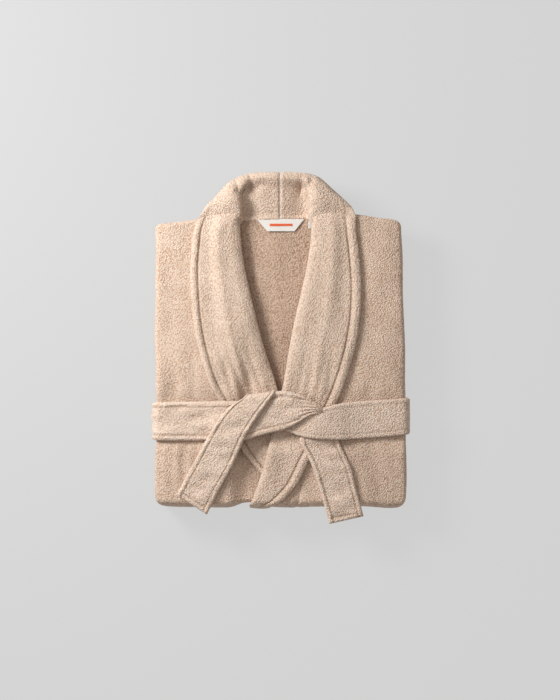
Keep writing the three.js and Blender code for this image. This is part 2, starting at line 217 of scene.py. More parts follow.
def drawn_in(points):
    """The belt squeezes the bundle, and the whole of it lies a little uneven, as soft cloth does."""
    x, y, z = points[..., 0], points[..., 1], points[..., 2]
    hold = np.exp(-((y - belt_y) / (36 * MM)) ** 4)
    share = np.clip((z - base_z) / stack, 0, 1.2)
    beside = hump(y - belt_y, 85 * MM) * (1 - 0.8 * hold)
    swell = np.tanh(waves(points * (1, 1, 0.3), 100 * MM, 3))
    furrow = np.tanh(waves(points * (1, 0.25, 0.1), 27 * MM, 5))
    edge = waves(points * (0.2, 1, 0.6), 90 * MM, 8) * smooth(np.abs(x) / side_start)
    z = z + hold * (belt_low * (1 - share) - 4.5 * MM * share)
    z = z + (swell * 1.5 + furrow * (0.5 + 2.3 * beside)) * MM * np.clip(share, 0, 1) * (1 - 0.75 * hold)
    streak = np.tanh(1.4 * np.sin(x / (3.1 * MM) + 1.3 * np.sin(y / (37 * MM))))
    streak = streak * smooth((-98 * MM - x) / (30 * MM))
    streak = streak * smooth((-138 * MM - y) / (14 * MM)) * smooth((y + 238 * MM) / (40 * MM))
    z = z + 0.9 * MM * streak * np.clip(share, 0, 1)
    corner = np.clip((np.abs(x) - 120 * MM) / (70 * MM), 0, 1) ** 2 * np.clip(share - 0.2, 0, 1)
    z = z - corner * 3.5 * MM
    top = smooth((y - 105 * MM) / (92 * MM))
    out = np.clip((np.abs(x) - 80 * MM) / (108 * MM), 0, 1)
    y = y - top * (9 * MM * out**1.4 - 3.2 * MM * np.sign(x) * smooth((np.abs(x) - 50 * MM) / (60 * MM)))
    far = np.clip((np.abs(x) - 138 * MM) / (50 * MM), 0, 1)
    for distance, radius in ((y - bundle_low.y, 19 * MM), (shoulder_y - 7 * MM - y, 13 * MM)):
        near = 1 - np.clip(distance / radius, 0, 1)
        x = x - np.sign(x) * far * radius * (1 - np.sqrt(1 - near**2)) * 0.8
    x = x * (1 - 0.006 * hold) + edge * 1.1 * MM * np.sign(x)
    x = x - 6 * MM * np.clip(x / side_start, 0, 1) ** 2 * smooth((y + 80 * MM) / (230 * MM))
    y = y + waves(points * (1, 0.2, 0.6), 110 * MM, 12) * 1.1 * MM * smooth(np.abs(y) / (200 * MM))
    return np.stack([x, y, z], -1)


def place(u, v, n):
    u, v, n = np.broadcast_arrays(u, v, n)
    x, n1 = side_fold(u, n)
    y, depth = length_fold(v, n1)
    return drawn_in(np.stack([x, y, top_z - depth], -1))


def along(points, y):
    """The curve through the given (y, x) points, read at y; all in millimetres until here."""
    ys = np.array([p[0] for p in points][::-1]) * MM - shift
    xs = np.array([p[1] for p in points][::-1]) * MM
    slopes = np.gradient(xs, ys)
    y = np.clip(y, ys[0], ys[-1])
    k = np.clip(np.searchsorted(ys, y) - 1, 0, len(ys) - 2)
    h = ys[k + 1] - ys[k]
    t = (y - ys[k]) / h
    return ((2 * t**3 - 3 * t**2 + 1) * xs[k] + (t**3 - 2 * t**2 + t) * h * slopes[k]
            + (3 * t**2 - 2 * t**3) * xs[k + 1] + (t**3 - t**2) * h * slopes[k + 1])


def mesh_piece(name, points, faces):
    mesh = bpy.data.meshes.new(name)
    mesh.from_pydata(points.tolist(), [], faces.tolist())
    piece = bpy.data.objects.new(name, mesh)
    bpy.context.scene.collection.objects.link(piece)
    return piece


def merge_and_face_out(piece):
    """Merges the rims and turns every face outwards."""
    bpy.ops.object.select_all(action="DESELECT")
    bpy.context.view_layer.objects.active = piece
    piece.select_set(True)
    bpy.ops.object.mode_set(mode="EDIT")
    bpy.ops.mesh.select_all(action="SELECT")
    bpy.ops.mesh.remove_doubles(threshold=0.02 * MM)
    bpy.ops.mesh.normals_make_consistent(inside=False)
    bpy.ops.object.mode_set(mode="OBJECT")
    piece.data.polygons.foreach_set("use_smooth", [True] * len(piece.data.polygons))


def closed_sheet(name, upper, lower, pressed_and_shade=None):
    """One closed mesh between two grids of points whose rims meet. pressed gives the stitched grooves,
    which the material paints darker: the stitches flatten the loops there, and the rest of the darkening is
    painted shade.
    """
    rows, cols = upper.shape[:2]
    points = np.concatenate([upper.reshape(-1, 3), lower.reshape(-1, 3)])
    ids = np.arange(rows * cols).reshape(rows, cols)
    a, b, c, d = ids[:-1, :-1], ids[:-1, 1:], ids[1:, 1:], ids[1:, :-1]
    top = np.stack([a, d, c, b], -1).reshape(-1, 4)
    under = np.stack([a, b, c, d], -1).reshape(-1, 4) + rows * cols
    border = np.concatenate([ids[0, :], ids[1:, -1], ids[-1, -2::-1], ids[-2:0:-1, 0]])
    following = np.roll(border, -1)
    wall = np.stack([border, following, following + rows * cols, border + rows * cols], -1)
    piece = mesh_piece(name, points, np.concatenate([top, under, wall]))
    if pressed_and_shade is not None:
        groove_darkening = piece.data.attributes.new("pressed_and_shade", "FLOAT", "POINT")
        groove_darkening.data.foreach_set("value", np.concatenate([pressed_and_shade.ravel(), 0.5 * pressed_and_shade.ravel()]))
    merge_and_face_out(piece)
    return piece


def rim(distance, half):
    """Share of the thickness left near an edge, so that it ends in a round."""
    return np.sqrt(np.clip(1 - (1 - np.clip(distance / half, 0, 1)) ** 2, 0, 1))


def steps(*stops):
    """Numbers through the given (value, spacing) stops, evenly spaced from each to the next."""
    values = []
    for (start, spacing), (end, _) in zip(stops, stops[1:]):
        count = max(1, int(round(abs(end - start) / spacing)))
        values += list(start + (end - start) * np.arange(count) / count)
    return np.array(values + [stops[-1][0]])


def pile(points, height, seed):
    """Uneven loops: each point is pushed a little way along the surface's own direction."""
    along_rows = np.gradient(points, axis=0)
    along_cols = np.gradient(points, axis=1)
    normal = np.cross(along_rows, along_cols)
    normal /= np.linalg.norm(normal, axis=-1, keepdims=True) + 1e-12
    spacing = np.minimum(np.linalg.norm(along_rows, axis=-1), np.linalg.norm(along_cols, axis=-1))
    rough = np.random.RandomState(100 + seed).uniform(-1, 1, points.shape[:2])
    return points + normal * (rough * height * np.clip(spacing / (2 * MM), 0, 1))[..., None]


def terry(name, light, loop_shadow):
    """Looped cotton pile: round loops with painted shade in the gaps between them, fine fuzz, and a slow
    change of tone.
    """
    material = bpy.data.materials.new(name)
    material.use_nodes = True
    nodes, links = material.node_tree.nodes, material.node_tree.links
    loop_size, fuzz_size, tone_size = 2.3 * MM, 0.9 * MM, 30 * MM

    def two_colours(amount, low, low_colour, high, high_colour):
        ramp = nodes.new("ShaderNodeValToRGB")
        ramp.color_ramp.elements[0].position = low
        ramp.color_ramp.elements[0].color = (*low_colour, 1)
        ramp.color_ramp.elements[1].position = high
        ramp.color_ramp.elements[1].color = (*high_colour, 1)
        links.new(amount, ramp.inputs["Fac"])
        return ramp.outputs["Color"]

    shader = nodes["Principled BSDF"]
    shader.inputs["Roughness"].default_value = 0.95
    shader.inputs["Specular IOR Level"].default_value = 0.1
    shader.inputs["Sheen Weight"].default_value = 0.3
    shader.inputs["Sheen Roughness"].default_value = 0.5
    shader.inputs["Sheen Tint"].default_value = (1, 0.93, 0.86, 1)
    where = nodes.new("ShaderNodeTexCoord").outputs["Object"]
    loops = nodes.new("ShaderNodeTexVoronoi")
    loops.inputs["Scale"].default_value = 1 / loop_size
    fuzz = nodes.new("ShaderNodeTexNoise")
    fuzz.inputs["Scale"].default_value = 1 / fuzz_size
    fuzz.inputs["Detail"].default_value = 2
    tone = nodes.new("ShaderNodeTexNoise")
    tone.inputs["Scale"].default_value = 1 / tone_size
    tone.inputs["Detail"].default_value = 4
    for texture in (loops, fuzz, tone):
        links.new(where, texture.inputs["Vector"])
    height = nodes.new("ShaderNodeMath")
    height.operation = "MULTIPLY_ADD"
    links.new(fuzz.outputs["Fac"], height.inputs[0])
    height.inputs[1].default_value = 0.25
    links.new(loops.outputs["Distance"], height.inputs[2])
    # The gaps between the loops get the darker colour: painted shade.
    pile_colour = two_colours(height.outputs[0], 0.3, light, 0.9, loop_shadow)
    tone_colour = two_colours(tone.outputs["Fac"], 0.3, (0.88, 0.865, 0.85), 0.7, (1, 1, 1))
    shade = nodes.new("ShaderNodeMix")
    shade.data_type = "RGBA"
    shade.blend_type = "MULTIPLY"
    shade.inputs["Factor"].default_value = 1
    links.new(pile_colour, shade.inputs["A"])
    links.new(tone_colour, shade.inputs["B"])
    # The stitched grooves are painted darker: the stitches flatten the loops there, and the rest of the
    # darkening is painted shade.
    pressed_and_shade = nodes.new("ShaderNodeAttribute")
    pressed_and_shade.attribute_name = "pressed_and_shade"
    groove_shade_mix = nodes.new("ShaderNodeMix")
    groove_shade_mix.data_type = "RGBA"
    groove_shade_mix.blend_type = "MULTIPLY"
    links.new(pressed_and_shade.outputs["Fac"], groove_shade_mix.inputs["Factor"])
    links.new(shade.outputs["Result"], groove_shade_mix.inputs["A"])
    groove_shade_mix.inputs["B"].default_value = (0.5, 0.44, 0.38, 1)
    links.new(groove_shade_mix.outputs["Result"], shader.inputs["Base Color"])
    bump = nodes.new("ShaderNodeBump")
    bump.invert = True
    bump.inputs["Strength"].default_value = 0.75
    bump.inputs["Distance"].default_value = 1.8 * MM
    links.new(height.outputs[0], bump.inputs["Height"])
    links.new(bump.outputs["Normal"], shader.inputs["Normal"])
    return material


terry_body = terry("terry_body", (0.86, 0.695, 0.58), (0.59, 0.395, 0.28))

# The two roll edges of the collar, where the fronts end, as (y, x) from the neck to the bottom fold.
roll_left = [(215, -61.5), (178, -61.5), (133, -56), (88, -47), (45, -36.5), (0, -24.5), (-49, -8),
             (-79, 0), (-109, 6), (-139, 15), (-169, 25), (-200, 35), (-241, 45)]
roll_right = [(215, 46.5), (178, 46), (133, 40.5), (88, 31), (45, 21), (0, 12), (-49, 4),
              (-79, -3), (-109, -9.5), (-139, -17), (-169, -24), (-200, -33), (-241, -48)]
middle_half, middle_edge = 48 * MM, 76 * MM
lap_sink = 12.4 * MM
neck_sink = 8 * MM
front_recess = 9 * MM


def sunk(u, shift=0.0):
    return smooth((middle_edge + shift - np.abs(u)) / (middle_edge - middle_half))


def sink_along(v, full, neck, low):
    """How deep the middle of a layer lies: less inside the neck, most under the lapels."""
    y = shoulder_y - v
    upper = neck + (full - neck) * smooth((45 * MM - y) / (124 * MM))
    turn = np.clip((v - bottom_start) / bottom_arc, 0, 1)
    return np.where(turn > 0, full + (low - full) * smooth((turn - 0.5) / 0.5), upper)


panel_rows = steps((-6 * MM, 1.5 * MM), (12 * MM, 2.6 * MM), (bottom_start - 8 * MM, 2.4 * MM),
                   (bottom_start + bottom_arc, 8 * MM), (bottom_start + bottom_arc + lower_length, 4 * MM),
                   (bottom_start + bottom_arc + lower_length + hem_arc, 9 * MM), (hem_v - 4 * MM, 1.3 * MM),
                   (hem_v, 1))
side_columns = steps((side_start - 24 * MM, 3.5 * MM), (side_start, 1.8 * MM),
                     (side_start + side_arc, 5 * MM), (chest_half - 4 * MM, 1.3 * MM), (chest_half, 1))


def front_panel(word, side, roll, full):
    v = panel_rows[:, None]
    y_row = np.clip(shoulder_y - panel_rows, -241 * MM, 215 * MM)
    inner = side * along(roll, y_row) + front_recess
    share = steps((0, 0.004), (0.02, 0.014), (1, 1))[None, :]
    near = inner[:, None] + (side_columns[0] - inner[:, None]) * share
    u = np.concatenate([near[:, :-1], np.repeat(side_columns[None, :], len(panel_rows), 0)], 1)
    roll_start = -6 * MM * (1 - smooth((u - side_start) / side_arc * 3))
    v_used = np.maximum(v, roll_start)
    from_fold = side * u - (27 * MM + 0.12 * (y_row[:, None] + 217 * MM))
    fold = 2.6 * MM * hump(from_fold, 2.4 * MM) * smooth((-188 * MM - y_row) / (8 * MM))[:, None]
    half = cloth / 2 * rim(np.minimum(np.minimum(u - inner[:, None], chest_half - u),
                                      np.minimum(v + 6 * MM, hem_v - v)), 2.5 * MM)
    middle = cloth / 2 + sink_along(v, full, 0, pitch if full else 0) * sunk(u, 4 * MM)
    upper = pile(place(side * u, v_used, middle - half + fold), 0.22 * MM, 20 + side)
    lower = pile(place(side * u, v_used, middle + half), 0.30 * MM, 20 + side)
    panel = closed_sheet("front_" + word, upper, lower)
    panel.data.materials.append(terry_body)
    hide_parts("front_panel_" + word)
    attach(panel, "robe")


front_panel("left", -1, roll_left, lap_sink + 0.8 * MM)
front_panel("right", 1, roll_right, 0.0)

# ---------------------------------------------------------------- the robe's back
# The back is one width of the same terry, under the fronts. Its inside shows between the lapels,
# lower than they are, with a few short pressed pleats that start below the neck.
v = panel_rows[panel_rows > 3 * MM][:, None]
middle_columns = steps((0, 3 * MM), (75 * MM, 9 * MM), (side_columns[0], 1))
half_columns = np.concatenate([middle_columns[:-1], side_columns])
u = np.concatenate([-half_columns[:0:-1], half_columns])[None, :]
y_inside = shoulder_y - v
pleat = np.zeros(np.broadcast(u, v).shape)
pleats = ((-43, 140, 88, 2.2), (32.5, 142, 106, 2.0), (-38, 132, 92, 1.2))
for pleat_x, pleat_top, pleat_end, deep in pleats:
    run = smooth((y_inside - pleat_end * MM) / (12 * MM)) * smooth((pleat_top * MM - y_inside) / (8 * MM))
    pleat = pleat + deep * MM * run * hump(u - pleat_x * MM, 2.4 * MM)
from_end = np.minimum(v - 3 * MM, hem_v - v)
half = cloth / 2 * rim(np.minimum(chest_half - np.abs(u), from_end), 2.5 * MM)
sink = sink_along(v, lap_sink + 3.4 * MM, neck_sink, pitch + 2.6 * MM) * sunk(u, 8 * MM)
middle = pitch + cloth / 2 + sink
upper = pile(place(u, v, middle - half + pleat), 0.30 * MM, 31)
back = closed_sheet("back", upper, place(u, v, middle + half + pleat))
# The back's terry is a darker copy of the fronts': painted shade for its low place between the lapels.
back.data.materials.append(terry("terry_inside_shaded", (0.76, 0.575, 0.46), (0.44, 0.275, 0.185)))
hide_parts("back_panel")
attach(back, "robe")

# ---------------------------------------------------------------- sleeves and cuffs
# Each sleeve is a tube of terry, pressed flat and folded in half along its length, so it is four
# layers deep between the flaps and the hem. The cuff is a turned band of the same cloth, sewn on.
sleeve_layers = level + cloth / 2 + np.arange(4) * (3 * cloth + 2 * gap) / 3


def folded_ring(inner, outer):
    """The cloth's middle line round a flattened tube that is folded once: (x, depth) and its normal."""
    first, second, third, fourth = sleeve_layers
    tight = (second - first) / 2
    wide = (fourth - first) / 2
    left, right = inner + cloth / 2 + tight, outer - cloth / 2 - wide
    points, normals = [], []

    def run(x_from, x_to, depth, up):
        for x in np.linspace(x_from, x_to, 12)[1:-1]:
            points.append((x, depth))
            normals.append((0.0, up))

    def bend(x, depth, radius, turn_from, turn_to, out):
        for turn in np.radians(np.linspace(turn_from, turn_to, 13)):
            points.append((x + radius * np.cos(turn), depth + radius * np.sin(turn)))
            normals.append((out * np.cos(turn), out * np.sin(turn)))

    run(left, right, first, -1.0)
    bend(right, (first + fourth) / 2, wide, -90, 90, 1.0)
    run(right, left, fourth, 1.0)
    bend(left, (third + fourth) / 2, tight, 90, 270, 1.0)
    run(left, right, third, -1.0)
    bend(right, (second + third) / 2, tight, 90, -90, -1.0)
    run(right, left, second, 1.0)
    bend(left, (first + second) / 2, tight, 90, 270, 1.0)
    return np.array(points), np.array(normals)


def folded_tube(name, side, node, y_top, y_end):
    low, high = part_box(node)
    points, normals = folded_ring(min(abs(low.x), abs(high.x)), side_start - 2 * MM)
    v = (shoulder_y - steps((y_top, 6 * MM), (y_end, 1)))[:, None]
    skins = []
    for offset in (cloth / 2 - 0.1 * MM, 0.1 * MM - cloth / 2):
        line = points + normals * offset
        skins.append(place(side * line[None, :, 0], v, line[None, :, 1]))
    rows, cols = skins[0].shape[:2]
    ids = np.arange(rows * cols).reshape(rows, cols)
    right_of = np.roll(ids, -1, axis=1)
    quads = np.stack([ids[:-1], right_of[:-1], right_of[1:], ids[1:]], -1).reshape(-1, 4)
    under = rows * cols
    ends = [np.stack([ids[r], right_of[r], right_of[r] + under, ids[r] + under], -1) for r in (0, -1)]
    faces = np.concatenate([quads, quads[:, ::-1] + under] + ends)
    piece = mesh_piece(name, np.concatenate([skin.reshape(-1, 3) for skin in skins]), faces)
    merge_and_face_out(piece)
    return piece


for word, side in (("left", -1), ("right", 1)):
    for part, y_top, y_end in (("sleeve", 188 * MM, -116 * MM), ("cuff", -117 * MM, -201 * MM)):
        node = f"{part}_{word}"
        piece = folded_tube(node + "_folded", side, node, y_top, y_end)
        piece.data.materials.append(terry_body)
        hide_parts(node)
        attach(piece, "robe")

# ---------------------------------------------------------------- pockets
# A patch pocket of one layer is sewn on each front, with a hemmed mouth. Folded, they lie underneath.
for word, side in (("left", -1), ("right", 1)):
    low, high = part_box("pocket_" + word)
    width, height = high.x - low.x, high.y - low.y
    inner = min(abs(low.x), abs(high.x))
    start = bottom_start + bottom_arc + (low.y - bottom_centre_y)
    across = steps((0, 1 * MM), (4 * MM, 5 * MM), (width - 4 * MM, 1 * MM), (width, 1))[None, :]
    down = steps((0, 1 * MM), (4 * MM, 5 * MM), (height - 4 * MM, 1 * MM), (height, 1))[:, None]
    half = (cloth / 2 - 0.1 * MM) * rim(np.minimum(np.minimum(across, width - across),
                                                   np.minimum(down, height - down)), 2.5 * MM)
    hem_line = 0.6 * MM * hump(down - (height - 28 * MM), 2 * MM)
    middle = -gap - cloth / 2 + 0 * across
    upper = place(side * (inner + across), start + down, middle - half + hem_line)
    lower = place(side * (inner + across), start + down, middle + half)
    pocket = closed_sheet("patch_pocket_" + word, upper, lower)
    pocket.data.materials.append(terry_body)
    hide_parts("pocket_" + word)
    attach(pocket, "robe")

# ---------------------------------------------------------------- shawl collar
# Two halves of double terry meet in a seam at the centre back. Each lies on its front as a lapel
# with a thick rolled edge and a line of topstitching, then turns up round the neck and falls behind.
# The collar's terry is a lighter copy of the body's: painted light for the raised lapels and neck.
terry_collar = terry("terry_collar", (0.89, 0.735, 0.62), (0.63, 0.435, 0.32))
outer_left = [(215, -130), (178, -132), (133, -135), (88, -135), (45, -131), (0, -123), (-49, -108),
              (-79, -93), (-109, -82), (-139, -67), (-169, -47), (-200, -20), (-241, 2)]
outer_right = [(215, 112), (178, 116), (133, 120), (88, 123), (45, 120), (0, 112), (-49, 97),
               (-79, 85), (-109, 72), (-139, 57), (-169, 41), (-200, 25), (-241, -12)]
collar_cloth = 6.4 * MM
lapel_gap = 0.8 * MM


def between(p0, p1, p2, p3, t):
    """The smooth curve from p1 to p2 that also heeds the points before and after them."""
    return 0.5 * (2 * p1 + (p2 - p0) * t + (2 * p0 - 5 * p1 + 4 * p2 - p3) * t**2
                  + (3 * p1 - p0 - 3 * p2 + p3) * t**3)


def curve_through(points, shares):
    """Points at the given shares of the length of the smooth curve through the given ones."""
    points = np.asarray(points, float)
    padded = np.concatenate([[2 * points[0] - points[1]], points, [2 * points[-1] - points[-2]]])
    t = np.linspace(0, 1, 24, endpoint=False)[:, None]
    fine = [between(*padded[k - 1:k + 3], t) for k in range(1, len(padded) - 2)]
    fine = np.concatenate(fine + [points[-1:]])
    run = np.concatenate([[0], np.cumsum(np.linalg.norm(np.diff(fine, axis=0), axis=1))])
    return np.stack([np.interp(run[-1] * shares, run, fine[:, k]) for k in range(3)], -1)


top_mm = top_z / MM
lapel_mm = top_mm + 4
roll_mm = top_mm + 9
seam_mm = top_mm - 10.5
# Control points of each neck station, from the neck seam over the roll to the outer edge.
neck_left = [
    [(-60, 190, top_mm - 5), (-63, 202, top_mm + 6), (-84, 206, lapel_mm + 3),
     (-106, 207, lapel_mm), (-121, 200, lapel_mm)],
    [(-54, 193, seam_mm + 1.5), (-65, 220, roll_mm), (-80, 226, roll_mm + 1),
     (-94, 228, lapel_mm - 1), (-101, 222, top_mm - 8)],
    [(-42, 193, seam_mm), (-62, 237, roll_mm), (-70, 244, roll_mm),
     (-77, 247, top_mm + 1), (-79, 243, top_mm - 26)],
    [(-24, 193.5, seam_mm), (-40, 249, roll_mm - 1), (-45, 256, roll_mm - 2),
     (-49, 260, top_mm - 2), (-50, 256, top_mm - 42)],
    [(-2.2, 194, seam_mm), (-2.2, 252, roll_mm - 1), (-2.2, 259, roll_mm - 3),
     (-2.2, 262.5, top_mm - 3), (-2.2, 258, top_mm - 47)],
]
neck_right = [
    [(45, 190, top_mm - 5), (48, 202, top_mm + 6), (68, 207, lapel_mm + 3),
     (94, 210, lapel_mm), (110, 204, lapel_mm)],
    [(40, 195, seam_mm + 1.5), (49, 220, roll_mm), (64, 226, roll_mm + 1),
     (86, 226, lapel_mm - 1), (95, 220, top_mm - 8)],
    [(30, 195, seam_mm), (46, 237, roll_mm), (54, 243, roll_mm),
     (67, 245, top_mm + 1), (71, 240, top_mm - 26)],
    [(17, 195, seam_mm), (32, 249, roll_mm - 1), (38, 256, roll_mm - 2),
     (46, 259, top_mm - 2), (48, 255, top_mm - 42)],
    [(-1.2, 195, seam_mm), (-1.2, 252, roll_mm - 1), (-1.2, 259, roll_mm - 3),
     (-1.2, 262.5, top_mm - 3), (-1.2, 258, top_mm - 47)],
]
# Where the roll edge hides the stand at each side, and the two pinched folds at its top.
crease_left = [(262, -38), (252, -47), (243, -58), (234, -63), (215, -63), (190, -61)]
crease_right = [(262, 28), (252, 36), (243, 42), (234, 44), (215, 44.5), (190, 46)]


def through_stations(stations, count):
    """Rows of points that pass smoothly through the given rows, from the second to the last but one."""
    rows = []
    for k in range(1, len(stations) - 2):
        rows += [between(*stations[k - 1:k + 3], t) for t in np.linspace(0, 1, count, endpoint=False)]
    return np.stack(rows + [stations[-2]])


def collar_half(word, side, roll, outer, neck, full, crease, pinches):
    # Lapel: rows straight across, from its end on the bottom fold up to the shoulder.
    lapel_end = bottom_start + 0.56 * bottom_arc
    v = steps((lapel_end, 1.2 * MM), (lapel_end - 8 * MM, 2.0 * MM), (shoulder_y - 176 * MM, 1))
    y = np.clip(shoulder_y - v, -241 * MM, 215 * MM)
    inner = side * along(roll, y)
    width = side * along(outer, y) - inner
    end_round = np.sqrt(np.clip(1 - (1 - np.clip((lapel_end - v) / (38 * MM), 0, 1)) ** 2, 0.02, 1))
    width = width * end_round
    share = steps((0, 0.004), (0.03, 0.01), (0.12, 0.02), (0.78, 0.01), (0.97, 0.004), (1, 1))
    w = width[:, None] * share[None, :]
    u = inner[:, None] + w
    left = width[:, None] - w
    stitch = (11.5 if side < 0 else 15.5) * MM
    half = collar_cloth / 2 * rim(w, 8 * MM) * rim(left, 3.6 * MM) * rim(lapel_end - v, 3.4 * MM)[:, None]
    nose = smooth((14 * MM - w) / (7 * MM)) * smooth(width / (60 * MM))[:, None]
    middle = -lapel_gap - collar_cloth / 2 + nose * 1.7 * MM
    half = half * (1 + nose * 0.55)
    stitches = 0.8 + 0.3 * np.sin(v / (5.2 * MM) * 2 * np.pi)[:, None]
    groove = 2.0 * MM * stitches * hump(left - stitch, 1.6 * MM)
    ridge_at, ridge_high, flank = (0.44, 4.2, 0.24) if side < 0 else (0.46, 2.2, 0.3)
    from_ridge = (w - ridge_at * width[:, None]) / (width[:, None] + 1e-6)
    crown = ridge_high * MM * (1 - smooth(from_ridge / flank)) * smooth(w / (16 * MM))
    crown = crown + 1.3 * MM * hump((from_ridge - 0.02) * width[:, None], 9 * MM)
    crown = crown * smooth(width / (90 * MM))[:, None] * smooth((y + 78 * MM) / (80 * MM))[:, None]
    gather = np.sin(2 * np.pi * w / (15 * MM) + 0.8) * smooth((w - 14 * MM) / (10 * MM))
    gather = gather * smooth((left - stitch - 4 * MM) / (10 * MM)) * hump(y + 52 * MM, 48 * MM)[:, None]
    crown = crown + gather * (1.1 if side < 0 else 0.5) * MM
    edge_puff = 1.4 * MM * hump(left - 0.5 * stitch, 4 * MM)
    sink = sink_along(v, full, 0, pitch)[:, None] * sunk(u, -2 * MM) if full else 0
    # How much the stitched groove is painted darker: flattened loops and painted shade.
    groove_darkening = 0.75 * hump(left - stitch, 1.5 * MM)
    up = place(side * u, v[:, None], middle - half + sink + groove - crown - edge_puff)
    down = place(side * u, v[:, None], middle + half + sink)
    # Neck: a smooth band through the stations, joined to the lapel's last rows.
    mid = (up + down) / 2
    stations = [mid[-20], mid[-1]]
    stations += [curve_through(np.array(station) * MM - (0, shift, 0), share) for station in neck]
    mirrored = stations[-2].copy()
    mirrored[:, 0] = 2 * stations[-1][:, 0] - mirrored[:, 0]
    stations.append(mirrored)
    neck_mid = through_stations(stations, 20)
    x, y_neck = neck_mid[..., 0], neck_mid[..., 1]
    inside = (along(crease, y_neck) - x) * side
    tuck = smooth(inside / (2.8 * MM)) * (1 - 0.62 * smooth((inside - 5 * MM) / (38 * MM)))
    tuck = tuck * smooth((y_neck + shift - 190 * MM) / (14 * MM))
    tuck = tuck * smooth((258 * MM - y_neck - shift) / (16 * MM))
    neck_mid[..., 2] -= tuck * 13 * MM
    for pinch_x, pinch_y, deep in pinches:
        far = ((x - pinch_x * MM) / (4.5 * MM)) ** 2 + ((y_neck + shift - pinch_y * MM) / (9 * MM)) ** 2
        neck_mid[..., 2] -= deep * MM * np.exp(-far)
    normal = np.cross(np.gradient(neck_mid, axis=1), np.gradient(neck_mid, axis=0)) * -side
    normal /= np.linalg.norm(normal, axis=-1, keepdims=True) + 1e-12
    row_share = np.linspace(0, 1, len(neck_mid))[:, None]
    length_across = np.linalg.norm(np.diff(neck_mid, axis=1), axis=-1)
    run = np.concatenate([np.zeros((len(neck_mid), 1)), np.cumsum(length_across, 1)], 1)
    to_edge = run[:, -1:] - run
    neck_half = collar_cloth / 2 * rim(run, 3.4 * MM) * rim(to_edge, 3.6 * MM)
    neck_half = neck_half * rim((1 - row_share) * 150 * MM + 0.25 * MM, 3.0 * MM)
    join = smooth(row_share / 0.3)
    groove = 1.8 * MM * hump(to_edge - stitch, 1.7 * MM) * join
    joined = (1 - join)[..., None]
    neck_groove_darkening = 0.75 * hump(to_edge - stitch, 1.5 * MM)
    groove_darkening = np.concatenate([groove_darkening[:-1], neck_groove_darkening * join + groove_darkening[-1] * (1 - join)])
    neck_up = neck_mid + normal * ((neck_half - groove) * join)[..., None] + joined * (up[-1] - mid[-1])
    neck_down = neck_mid - normal * (neck_half * join)[..., None] + joined * (down[-1] - mid[-1])
    upper = np.concatenate([up[:-1], neck_up])
    lower = np.concatenate([down[:-1], neck_down])
    upper, lower = pile(upper, 0.28 * MM, 60 + side), pile(lower, 0.28 * MM, 60 + side)
    piece = closed_sheet("collar_half_" + word, upper, lower, groove_darkening)
    piece.data.materials.append(terry_collar)
    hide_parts("collar_" + word)
    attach(piece, "robe")


pinches_left = [(-46, 247, 6), (-65, 240, 5)]
pinches_right = [(29, 243, 6), (44, 246, 4)]
collar_half("left", -1, roll_left, outer_left, neck_left, lap_sink, crease_left, pinches_left)
collar_half("right", 1, roll_right, outer_right, neck_right, 0.0, crease_right, pinches_right)

# ---------------------------------------------------------------- belt
# One strip of double terry, topstitched along both edges and across both ends. It goes once round
# the bundle and is tied in a half knot, so it is two strands that meet under the bundle.
# The belt's terry is a lighter copy of the body's: painted light for the raised belt and knot.
terry_belt = terry("terry_belt", (0.94, 0.79, 0.68), (0.68, 0.48, 0.36))
belt_cloth = 6 * MM
belt_width = 54 * MM
under_run = 170 * MM
stitch_in = 7.5 * MM
over_cloth = top_mm - 4 + 1.2 + 3
over_lapel = over_cloth + 7.6
side_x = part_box("belt_wrap")[1].x / MM - 3.4
# Each station is (edge towards the collar, edge towards the hem), each x, y, z in millimetres.
strand_left = [
    [(-2, -78, 4.2), (-2, -132, 4.2)], [(-60, -79, 4.2), (-60, -133, 4.2)],
    [(-120, -80, 4.2), (-120, -134, 4.2)], [(-176, -80.5, 4.3), (-176, -134.5, 4.3)],
    [(-side_x + 3.5, -81, 6.5), (-side_x + 3.5, -135, 6.5)],
    [(-side_x, -81.5, 16), (-side_x, -135.5, 16)], [(-side_x, -82, 32), (-side_x, -136, 32)],
    [(-side_x + 0.5, -80.5, 48), (-side_x + 0.5, -136.5, 48)],
    [(-side_x + 5, -80, over_cloth - 2), (-side_x + 5, -137, over_cloth - 2)],
    [(-174, -79.5, over_cloth + 0.3), (-174, -137.5, over_cloth + 0.3)],
    [(-140, -79, over_cloth + 0.5), (-140, -137.5, over_cloth + 0.5)],
    [(-112, -78.5, over_cloth + 2.5), (-110, -137.5, over_cloth + 1)],
    [(-92, -78, over_lapel), (-90, -137, over_lapel - 3)],
    [(-66, -77.5, over_lapel + 0.5), (-70, -137, over_lapel - 0.5)],
    [(-40, -73, over_lapel + 4), (-50, -135, over_lapel + 2)],
    [(-16, -65, over_lapel + 8.5), (-28, -128, over_lapel + 6)],
    [(6, -62.5, over_lapel + 11), (2, -121, over_lapel + 8.5)],
    [(28, -68, over_lapel + 10.5), (24, -111, over_lapel + 9)],
    [(47, -77.5, over_lapel + 7.5), (43, -99, over_lapel + 8)],
    [(60, -86.5, over_lapel + 2), (56, -98, over_lapel + 4.5)],
    [(72, -99, over_cloth + 2.5), (53, -109, over_cloth + 4.5)],
    [(82, -117, over_cloth + 1.5), (35, -121, over_lapel - 2)],
    [(87, -138, over_cloth + 2.2), (28, -138, over_lapel)],
    [(95, -156, over_cloth + 3.5), (38, -157, over_lapel + 0.5)],
    [(105, -178, over_cloth + 5.2), (48.5, -181, over_lapel)],
    [(112, -206, over_cloth + 5), (57, -208, over_cloth + 5.5)],
    [(118, -229, over_cloth + 5), (65, -235, over_cloth + 5)],
    [(123.5, -250.5, over_cloth + 4.5), (72.5, -262, over_cloth + 4.5)],
]
